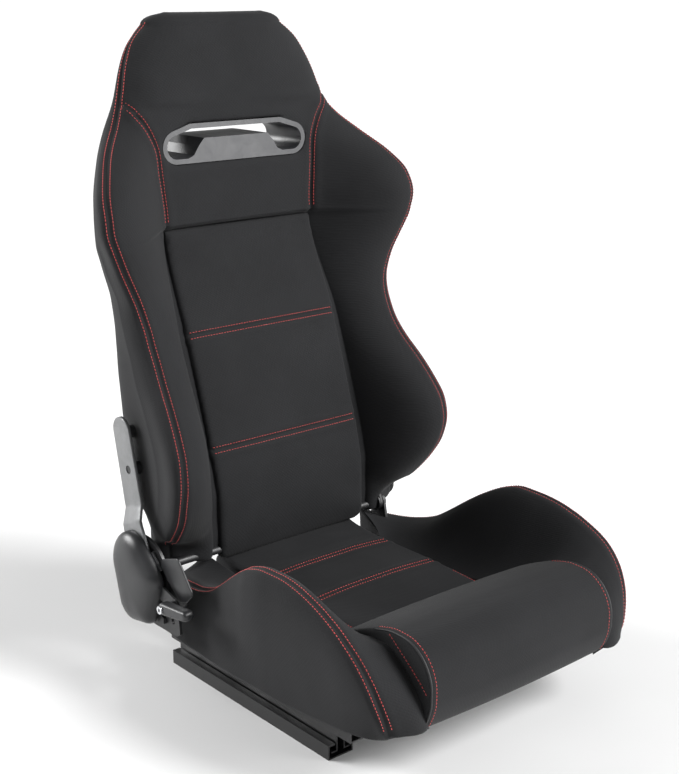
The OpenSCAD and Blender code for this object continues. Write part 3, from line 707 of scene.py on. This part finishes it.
# Centre line of the arm on the occupant's right as x of its outer face, y, z and half width, from the foot up
ARM = [[260, 175, 160, 30], [260, 186, 188, 27], [260, 198, 219, 23.5], [259.6, 200.5, 225, 23.2],
       [250.4, 208.5, 245.5, 21.8], [250, 210, 249, 21.6], [250, 215, 270, 21], [250, 233, 347, 20]]
ARM_THICK = 5 * MM
ARM_HOLE = 6 * MM
ARM_EDGE = 1.3 * MM
TOP_STEPS = 12


def build_arm():
    """Cranked arm: a plate with rounded edges, a joggle above the dome, a round top and one bolt hole."""
    line = np.array(ARM) * MM
    fine = np.concatenate([np.linspace(a, b, 7)[:-1] for a, b in zip(line[:-1], line[1:])] + [line[-1:]])
    go = line[-1] - line[-2]
    top_r = line[-1][3]
    step = go[:3] / np.linalg.norm(go[:3])
    for k in range(1, TOP_STEPS + 1):
        a = 0.5 * math.pi * k / (TOP_STEPS + 0.3)
        fine = np.concatenate([fine, [[*(line[-1][:3] + step * top_r * math.sin(a)), top_r * math.cos(a)]]])
    rows = []
    for i, (x, y, z, w) in enumerate(fine):
        j = min(i, len(fine) - TOP_STEPS - 2)
        d = fine[j + 1][1:3] - fine[max(j - 1, 0)][1:3]
        cross = np.array([d[1], -d[0]]) / np.linalg.norm(d)
        edge = min(ARM_EDGE, 0.45 * w)
        section = [(w - edge, 0), (w - 0.3 * edge, -0.3 * edge), (w, -edge), (w, edge - ARM_THICK),
                   (w - 0.3 * edge, 0.3 * edge - ARM_THICK), (w - edge, -ARM_THICK)]
        section += [(-u, v) for u, v in section[::-1]]
        rows.append([(-(x + v), y + cross[0] * u, z + cross[1] * u) for u, v in section])
    ob = loop_loft("back_arm_plate", np.array(rows))
    low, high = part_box("arm_bolts")
    cy, cz = 0.5 * (low.y + high.y), 0.5 * (low.z + high.z)
    turn = np.linspace(0, 2 * math.pi, 33)[:-1]
    ring = [(cy + ARM_HOLE * math.cos(a), cz + ARM_HOLE * math.sin(a)) for a in turn]
    cut_through(ob, [[(x, y, z) for y, z in ring] for x in (-0.3, -0.2)])
    ob.data.shade_smooth()
    ob.data.set_sharp_from_angle(angle=math.radians(24))
    return ob


def cut_through(ob, ends):
    """Subtracts the straight prism between two rings of points."""
    n = len(ends[0])
    faces = [tuple(range(n)), tuple(range(2 * n - 1, n - 1, -1))]
    faces += [(i, i + n, (i + 1) % n + n, (i + 1) % n) for i in range(n)]
    cutter = clean(new_mesh("cutter", ends[0] + ends[1], faces))
    modify(ob, "BOOLEAN", operation="DIFFERENCE", solver="EXACT", object=cutter)
    bpy.data.objects.remove(cutter)


# Guard in front of the recliner as corners y, z, with the distance of its two faces from the middle plane
GUARD = [[132, 192], [129, 194], [96, 205], [92, 204], [62, 167], [62, 162], [76, 148], [91, 144],
         [123, 169], [134, 182]]
GUARD_X = [253.4, 256.4]
# Very dark plate behind the slot between the dome and the guard, so that the slot shows black instead of the
# floor
BACKING = [[140, 190], [118, 186], [98, 160], [86, 141], [100, 128], [140, 128]]
BACKING_X = [246.4, 249.6]
# The skirt's stretch of the dome's outline, in degrees about the recline axis, and how far inboard it reaches
SKIRT_FROM, SKIRT_TO = 120, 160
SKIRT_X = [247.5, 259.5, 260.5]


def build_plate(name, corners, reach):
    """Flat moulded plate with rounded edges, from its corners y, z and its two faces' x."""
    outline = along(np.array([(0, y, z) for y, z in corners + corners[:1]]) * MM, 2 * MM)[:-1, 1:]
    centre = outline.mean(0)
    x0, x1 = reach
    rings = ((0.05, x0), (0.5, x0), (0.97, x0), (1.0, x0 + 0.8), (1.0, x1 - 0.9), (0.985, x1 - 0.25),
             (0.96, x1), (0.5, x1), (0.05, x1))
    return loop_loft(name, np.array([at_x(-x * MM, centre + (outline - centre) * k) for k, x in rings]))


def build_skirt():
    """Wall that carries the front upper edge of the dome inboard to the guard."""
    outline = hull_outline(COVER_CORNERS, 160)
    angle = np.degrees(np.arctan2(outline[:, 1] - pivot_z, outline[:, 0] - pivot_y))
    part = outline[(angle > SKIRT_FROM) & (angle < SKIRT_TO)]
    centre = outline.mean(0)
    inboard, shoulder, face = (-x * MM for x in SKIRT_X)
    rows = []
    for p in part:
        inner = p + (centre - p) / np.linalg.norm(centre - p) * 2.4 * MM
        rows.append([(inboard, *p), (shoulder, *p), (face, *(0.7 * p + 0.3 * inner)), (face, *inner),
                     (inboard, *inner)])
    return loop_loft("recliner_skirt", np.array(rows))


def build_grip():
    """Moulded grip of the recline lever: a bar with rounded sides that tapers to its front end."""
    low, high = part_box("lever_grip")
    mid_x = 0.5 * (low.x + high.x)
    rear = np.array([mid_x, 92 * MM, 142 * MM])
    front = np.array([mid_x, 42 * MM, 149 * MM])
    reach_rear, reach_front = 9.5 * MM, 7.5 * MM
    length = np.linalg.norm(front - rear)
    go = unit(front - rear)
    up = np.array([0, go[2], -go[1]])
    out = np.array([1.0, 0, 0])
    power = 0.62
    a = np.linspace(0, 2 * math.pi, 40, endpoint=False)
    ca, sa = np.cos(a), np.sin(a)
    rows = []
    for s in np.linspace(-1, 1, 34):
        q = 0.5 + 0.5 * s
        pos = -reach_rear + q * (length + reach_rear + reach_front)
        end = min((pos + reach_rear) / reach_rear, (length + reach_front - pos) / reach_front, 1)
        round_off = math.sqrt(max(1 - (1 - end) ** 2, 0.02))
        tall = (9.0 - 2.0 * q) * MM * round_off
        wide = 8.6 * MM * (0.55 + 0.45 * round_off)
        centre = rear + go * pos
        ring = (centre + out * (wide * np.sign(ca) * np.abs(ca) ** power)[:, None]
                + up * (tall * np.sign(sa) * np.abs(sa) ** power)[:, None])
        rows.append(ring)
    return loop_loft("recline_grip", np.array(rows))


# ---- materials

class Nodes:
    """Short way to build a node material."""

    def __init__(self, name, base, rough, metal=0.0, **sockets):
        self.material = bpy.data.materials.new(name)
        self.material.use_nodes = True
        self.tree = self.material.node_tree
        self.bsdf = self.tree.nodes["Principled BSDF"]
        self.coords = self.tree.nodes.new("ShaderNodeTexCoord").outputs["Object"]
        for key, value in dict(sockets, Base_Color=(*base, 1), Roughness=rough, Metallic=metal).items():
            self.bsdf.inputs[key.replace("_", " ")].default_value = value
        self.height = None

    def link(self, a, b):
        self.tree.links.new(a, b)

    def add(self, kind, **inputs):
        """A new node with its sockets set to values or linked to other nodes' outputs."""
        node = self.tree.nodes.new("ShaderNode" + kind)
        for key, value in inputs.items():
            socket = node.inputs[key.replace("_", " ")]
            if isinstance(value, bpy.types.NodeSocket):
                self.link(value, socket)
            else:
                socket.default_value = value
        return node

    def noise(self, scale, detail=2.0, rough=0.5, stretch=None):
        source = self.coords
        if stretch is not None:
            source = self.add("Mapping", Vector=source, Scale=stretch).outputs["Vector"]
        return self.add("TexNoise", Vector=source, Scale=scale, Detail=detail, Roughness=rough).outputs["Fac"]

    def wave(self, scale, distort, turn=(0, 0, 0)):
        turned = self.add("Mapping", Vector=self.coords, Rotation=turn).outputs["Vector"]
        node = self.add("TexWave", Vector=turned, Scale=scale, Distortion=distort, Detail=1.0)
        node.wave_type = "BANDS"
        node.bands_direction = "DIAGONAL"
        return node.outputs["Fac"]

    def math(self, op, a, b):
        node = self.tree.nodes.new("ShaderNodeMath")
        node.operation = op
        for k, v in enumerate((a, b)):
            if isinstance(v, (int, float)):
                node.inputs[k].default_value = v
            else:
                self.link(v, node.inputs[k])
        return node.outputs[0]

    def spread(self, value, low, high):
        node = self.add("MapRange", Value=value, From_Min=0.3, From_Max=0.7, To_Min=low, To_Max=high)
        return node.outputs["Result"]

    def tint(self, value, color, dark, light):
        """Colours the piece from dark to light times the color, as the value says."""
        ramp = self.add("ValToRGB", Fac=value)
        for element, position, k in zip(ramp.color_ramp.elements, (0.3, 0.7), (dark, light)):
            element.position = position
            element.color = (*(c * k for c in color), 1)
        self.link(ramp.outputs["Color"], self.bsdf.inputs["Base Color"])

    def roughness(self, value):
        self.link(value, self.bsdf.inputs["Roughness"])

    def bump(self, value, strength, distance):
        node = self.add("Bump", Height=value, Strength=strength, Distance=distance)
        if self.height is not None:
            self.link(self.height, node.inputs["Normal"])
        self.height = node.outputs["Normal"]
        self.link(self.height, self.bsdf.inputs["Normal"])


def knit(name, color, sheen):
    """Fine knitted cover: crossing ribs about 1.3 mm apart, slubs, lint and slow shade changes."""
    m = Nodes(name, color, 0.9, Sheen_Weight=sheen, Sheen_Roughness=0.45, Specular_IOR_Level=0.25)
    ribs_a = m.wave(120, 1.2)
    ribs_b = m.wave(120, 1.2, turn=(0, math.pi / 2, math.pi / 2))
    weave = m.math("MULTIPLY", ribs_a, ribs_b)
    slub = m.noise(420, 3.0, 0.65)
    patch = m.noise(9, 3.0, 0.55)
    fleck = m.noise(1500, 1.0)
    mixed = m.math("ADD", m.math("MULTIPLY", slub, 0.5), m.math("MULTIPLY", patch, 0.35))
    mixed = m.math("ADD", mixed, m.math("MULTIPLY", fleck, 0.15))
    m.tint(mixed, color, 0.62, 1.5)
    m.roughness(m.spread(slub, 0.82, 0.97))
    m.bump(weave, 0.35, 0.35 * MM)
    m.bump(slub, 0.3, 0.25 * MM)
    m.bump(patch, 0.25, 2.0 * MM)
    return m.material


def thread(name, color):
    """Twisted polyester sewing thread."""
    m = Nodes(name, color, 0.5, Sheen_Weight=0.3)
    twist = m.wave(900, 0.6)
    m.tint(m.math("ADD", m.math("MULTIPLY", twist, 0.6), m.math("MULTIPLY", m.noise(300), 0.4)),
           color, 0.7, 1.25)
    m.bump(twist, 0.4, 0.15 * MM)
    return m.material


def moulded(name, color, rough, grain):
    """Moulded plastic with a fine spark-eroded grain, slight gloss changes and faint handling marks."""
    m = Nodes(name, color, rough)
    fine = m.noise(1100, 2.0, 0.6)
    cloud = m.noise(14, 3.0, 0.6)
    marks = m.noise(60, 4.0, 0.7, stretch=(1, 6, 1))
    m.tint(cloud, color, 0.86, 1.16)
    m.roughness(m.spread(m.math("ADD", m.math("MULTIPLY", cloud, 0.5), m.math("MULTIPLY", marks, 0.5)),
                         rough - 0.06, rough + 0.08))
    m.bump(fine, grain, 0.12 * MM)
    return m.material


def painted(name, color, rough, metal=0.0):
    """Sprayed or dipped paint over steel: faint orange peel, dust and softer gloss in patches."""
    m = Nodes(name, color, rough, metal)
    peel = m.noise(260, 2.0, 0.5)
    dust = m.noise(34, 5.0, 0.7)
    m.tint(dust, color, 0.85, 1.2)
    m.roughness(m.spread(dust, rough - 0.06, rough + 0.1))
    m.bump(peel, 0.18, 0.2 * MM)
    return m.material


def plated(name, color, rough):
    """Zinc plated or bare steel with fine drawn lines."""
    m = Nodes(name, color, rough, 1.0)
    lines = m.noise(240, 3.0, 0.6, stretch=(14, 1, 1))
    m.tint(lines, color, 0.8, 1.1)
    m.roughness(m.spread(lines, rough - 0.07, rough + 0.12))
    m.bump(lines, 0.2, 0.08 * MM)
    return m.material


CHARCOAL = (0.0115, 0.0117, 0.0127)
DARK = (0.0058, 0.0059, 0.0063)
RED = (0.50, 0.026, 0.022)
charcoal = knit("charcoal_knit", CHARCOAL, 0.05)
dark_knit = knit("dark_knit", DARK, 0.04)
red_thread = thread("red_thread", RED)
bezel_satin = moulded("bezel_satin_grey", (0.024, 0.0245, 0.028), 0.34, 0.10)
black_grain = moulded("black_moulding", (0.017, 0.0175, 0.019), 0.36, 0.3)
arm_paint = painted("arm_satin_grey", (0.22, 0.223, 0.226), 0.38, 0.6)
black_paint = painted("black_paint", (0.016, 0.016, 0.017), 0.4)
rail_paint = painted("rail_black", (0.0065, 0.0065, 0.007), 0.33)
zinc = plated("bright_zinc", (0.72, 0.73, 0.75), 0.25)
yellow_zinc = plated("yellow_zinc", (0.70, 0.56, 0.22), 0.3)
spring_grey = plated("spring_grey", (0.36, 0.37, 0.39), 0.36)
piping_black = moulded("piping_black", (0.012, 0.012, 0.013), 0.55, 0.2)


def dress(node, material, bevel):
    """Gives a CAD node its material and rounds its edges."""
    ob = paint(frame["nodes"][node], material)
    if bevel:
        mod = ob.modifiers.new("edge", "BEVEL")
        mod.width = bevel
        mod.segments = 2
        mod.limit_method = "ANGLE"
        mod.angle_limit = math.radians(38)


def paint(ob, *materials):
    ob.data.materials.clear()
    for m in materials:
        ob.data.materials.append(m)
    return ob


# ---- build the soft goods

back_threads = {"points": [], "faces": []}
seat_threads = {"points": [], "faces": []}
ROW_IN, ROW_OUT = 0.5 * MM, 9.0 * MM

backrest, root_line, seam_line = build_backrest()
for hand in (1, -1):
    seam, root = (seam_line, root_line) if hand > 0 else (mirrored(seam_line), mirrored(root_line))
    double_seam(backrest, root, -4.3 * MM, 4.3 * MM, back_threads, 0.05, 1.0, 1.5 * MM, 1.0 * MM)
    double_seam(backrest, seam, -hand * ROW_OUT, hand * ROW_IN, back_threads, 0.045, 0.97)


SLOT_GAP = 1.2 * MM
SLOT_ROUND = 23.5 * MM
SLOT_TOP_HALF = 80 * MM


def cut_slot():
    """Opens the cover for the harness slot, just outside the edge of the bezel, with a rolled edge."""
    y0, y1 = bezel_low.y - 0.03, rear_bezel_high.y + 0.03
    w, low, high = bezel_high.x + SLOT_GAP, bezel_low.z - SLOT_GAP, bezel_high.z + SLOT_GAP
    r = SLOT_ROUND + SLOT_GAP
    outline = []
    for cx, first, last in ((w - r, -90, 15), (r - w, 165, 270)):
        for a in np.radians(range(first, last + 1, 15)):
            outline.append((cx + r * math.cos(a), low + r + r * math.sin(a)))
        if cx > 0:
            outline += [(SLOT_TOP_HALF, high), (-SLOT_TOP_HALF, high)]
    for y in (bezel_low.y, rear_bezel_high.y):
        path = along(np.array([(x, y, z) for x, z in outline + outline[:1]]), 3 * MM)
        sew(backrest, Surface(backrest).snap(path)[0], 2.5 * MM, 4.5 * MM)
    cut_through(backrest, [[(x, y, z) for x, z in outline] for y in (y0, y1)])


cut_slot()
back_pad = build_back_insert(back_threads)

roll, arch = build_roll()
seat_pad = build_seat_insert(seat_threads)
bolsters, pipings = [], []
for hand, name in ((1, "lh"), (-1, "rh")):
    bolster, crest = build_bolster(hand)
    double_seam(bolster, crest, -hand * ROW_OUT, hand * ROW_IN, seat_threads, 0.01, 0.98)
    bolsters.append(bolster)
    edge, chord = front_of_roll(arch, 85 * MM), CHORD
    if hand < 0:
        edge, chord = mirrored(edge), mirrored(chord)
    skin = Surface(roll)
    stitch_row(skin, beside(skin, edge, -hand * 2.2 * MM), seat_threads)
    stitch_row(skin, beside(skin, chord, 0.0), seat_threads)
    rim = skin.snap(along(edge + np.array([hand * 4.6 * MM, 1 * MM, 0]), 3 * MM))[0]
    pipings.append(tube("roll_piping_" + name, soften(rim, 3), 1.5 * MM))

for ob in (backrest, roll, *bolsters):
    paint(ob, charcoal, dark_knit)
for ob in (back_pad, seat_pad):
    paint(ob, charcoal)
for ob in pipings:
    paint(ob, piping_black)

for name, body, store in (("backrest_stitching", "backrest", back_threads),
                          ("cushion_stitching", "seat_base", seat_threads)):
    ob = paint(new_mesh(name, store["points"], store["faces"]), red_thread)
    ob.data.shade_smooth()
    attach(ob, body)

# Piece, its body, its material slot, its fill and the CAD nodes that it stands for
UPHOLSTERY = (
    (backrest, "backrest", "charcoal_fabric", 0.85, ("head_pad", "wing_rh", "wing_lh", "back_cover")),
    (back_pad, "backrest", "charcoal_fabric", 0.6, ("back_insert",)),
    (seat_pad, "seat_base", "charcoal_fabric", 0.6, ("cushion_insert",)),
    (roll, "seat_base", "charcoal_fabric", 0.8, ("cushion_front_roll",)),
    (bolsters[0], "seat_base", "side_fabric", 0.85, ("cushion_bolster_lh",)),
    (bolsters[1], "seat_base", "side_fabric", 0.85, ("cushion_bolster_rh",)),
)
for ob, body, slot, fill, nodes in UPHOLSTERY:
    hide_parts(*nodes)
    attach(ob, body)
for ob in pipings:
    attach(ob, "seat_base")

# ---- hard pieces

# Piece, its material, its slot, its body and the CAD nodes that it stands for
MOULDINGS = (
    (build_recliner_cover(), black_grain, "black_plastic", "seat_base", ["recliner_cover"]),
    (build_plate("recliner_guard", GUARD, GUARD_X), black_grain, "black_plastic", "seat_base",
     ["lever_shroud"]),
    (build_skirt(), black_grain, "black_plastic", "seat_base", []),
    (build_plate("recliner_backing", BACKING, BACKING_X), piping_black, "black_plastic", "seat_base", []),
    (build_arm(), arm_paint, "arm_grey", "backrest", ["back_arm_rh"]),
    (build_grip(), black_grain, "black_plastic", "recline_lever", ["lever_grip"]),
)
for ob, material, slot, body, nodes in MOULDINGS:
    paint(ob, material)
    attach(ob, body)
    if nodes:
        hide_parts(*nodes)

# Starts of node names, their material and the rounding of their edges in millimetres
FINISHES = (
    (("lower_rail", "upper_rail"), rail_paint, 0.5),
    (("recliner_bracket",), black_paint, 0.5),
    (("side_member", "rear_cross", "latch_bracket", "slide_release", "seat_pan", "back_frame",
      "bracket_bolts", "back_arm_lh", "arm_bolts", "recliner_hub", "sync_shaft"), black_paint, 0),
    (("slide_rollers", "latch_pins", "lever_screw"), zinc, 0),
    (("rail_bolts",), yellow_zinc, 0),
    (("latch_plate", "bracket_spacers", "return_spring", "back_springs"), spring_grey, 0),
    (("lever_plate",), black_grain, 0.8),
    (("harness_bezel_front",), bezel_satin, 1.6),
    (("harness_bezel_rear",), black_grain, 1.2),
)
for starts, material, bevel in FINISHES:
    for node in frame["nodes"]:
        if node.startswith(starts):
            dress(node, material, bevel * MM)

# ---- stage, light and camera

AZIMUTH, ELEVATION, DISTANCE = math.radians(-40.2), math.radians(16.07), 1.861
TARGET = Vector((-0.055, 0.0, 0.425))
FOCAL_PX, IMAGE_H, SENSOR = 1414.0, 774, 36.0
# Half width of the flat floor, and of its raised rim with its height, in metres
FLOOR_HALF, RIM_HALF, RIM_HEIGHT = 60, 300, 18
SQUARE = ((-1, -1), (1, -1), (1, 1), (-1, 1))


def build_stage():
    """Pale floor that rises far away, and an even white sky."""
    corners = [(sx * r, sy * r, z) for r, z in ((FLOOR_HALF, 0), (RIM_HALF, RIM_HEIGHT)) for sx, sy in SQUARE]
    faces = [(0, 1, 2, 3)] + [(k, (k + 1) % 4, (k + 1) % 4 + 4, k + 4) for k in range(4)]
    floor = new_mesh("floor", corners, [f if k == 0 else f[::-1] for k, f in enumerate(faces)])
    m = Nodes("pale_floor", (0.82, 0.82, 0.82), 0.7)
    m.tint(m.noise(3.0, 2.0), (1, 1, 1), 0.80, 0.84)
    paint(floor, m.material)
    world = bpy.data.worlds.new("studio")
    world.use_nodes = True
    sky = world.node_tree.nodes["Background"].inputs
    sky["Color"].default_value = (1, 1, 1, 1)
    sky["Strength"].default_value = 0.28
    bpy.context.scene.world = world


def add_light(name, kind, energy, toward, **settings):
    """A light that shines from the direction toward."""
    light = bpy.data.lights.new(name, kind)
    light.energy = energy
    for key, value in settings.items():
        setattr(light, key, value)
    ob = bpy.data.objects.new(name, light)
    ob.rotation_euler = (-Vector(toward)).to_track_quat("-Z", "Y").to_euler()
    bpy.context.scene.collection.objects.link(ob)
    return ob


def softbox(name, place, aim, size, power):
    toward = Vector(place) - Vector(aim)
    ob = add_light(name, "AREA", power, toward, shape="RECTANGLE", size=size[0], size_y=size[1])
    ob.location = place


def sun(name, toward, strength, spread):
    add_light(name, "SUN", strength, toward, angle=math.radians(spread))


def build_camera():
    data = bpy.data.cameras.new("camera")
    data.sensor_width = SENSOR
    data.lens = FOCAL_PX * SENSOR / IMAGE_H
    data.clip_end = 2000
    camera = bpy.data.objects.new("camera", data)
    offset = Vector((math.sin(AZIMUTH) * math.cos(ELEVATION), -math.cos(AZIMUTH) * math.cos(ELEVATION),
                     math.sin(ELEVATION)))
    camera.location = TARGET + DISTANCE * offset
    camera.rotation_euler = (-offset).to_track_quat("-Z", "Y").to_euler()
    bpy.context.scene.collection.objects.link(camera)
    bpy.context.scene.camera = camera


build_stage()
sun("key_front", (0.46, -0.62, 0.64), 3.5, 26)
sun("rim_left", (-0.50, 0.75, 0.45), 2.9, 26)
softbox("front_low", (1.1, -1.7, 0.55), (0.05, -0.25, 0.15), (1.2, 0.8), 22)
softbox("rear_left", (-1.7, 1.3, 1.5), (-0.25, 0.2, 0.25), (0.8, 0.8), 16)
build_camera()
bpy.context.scene.view_settings.view_transform = "Standard"
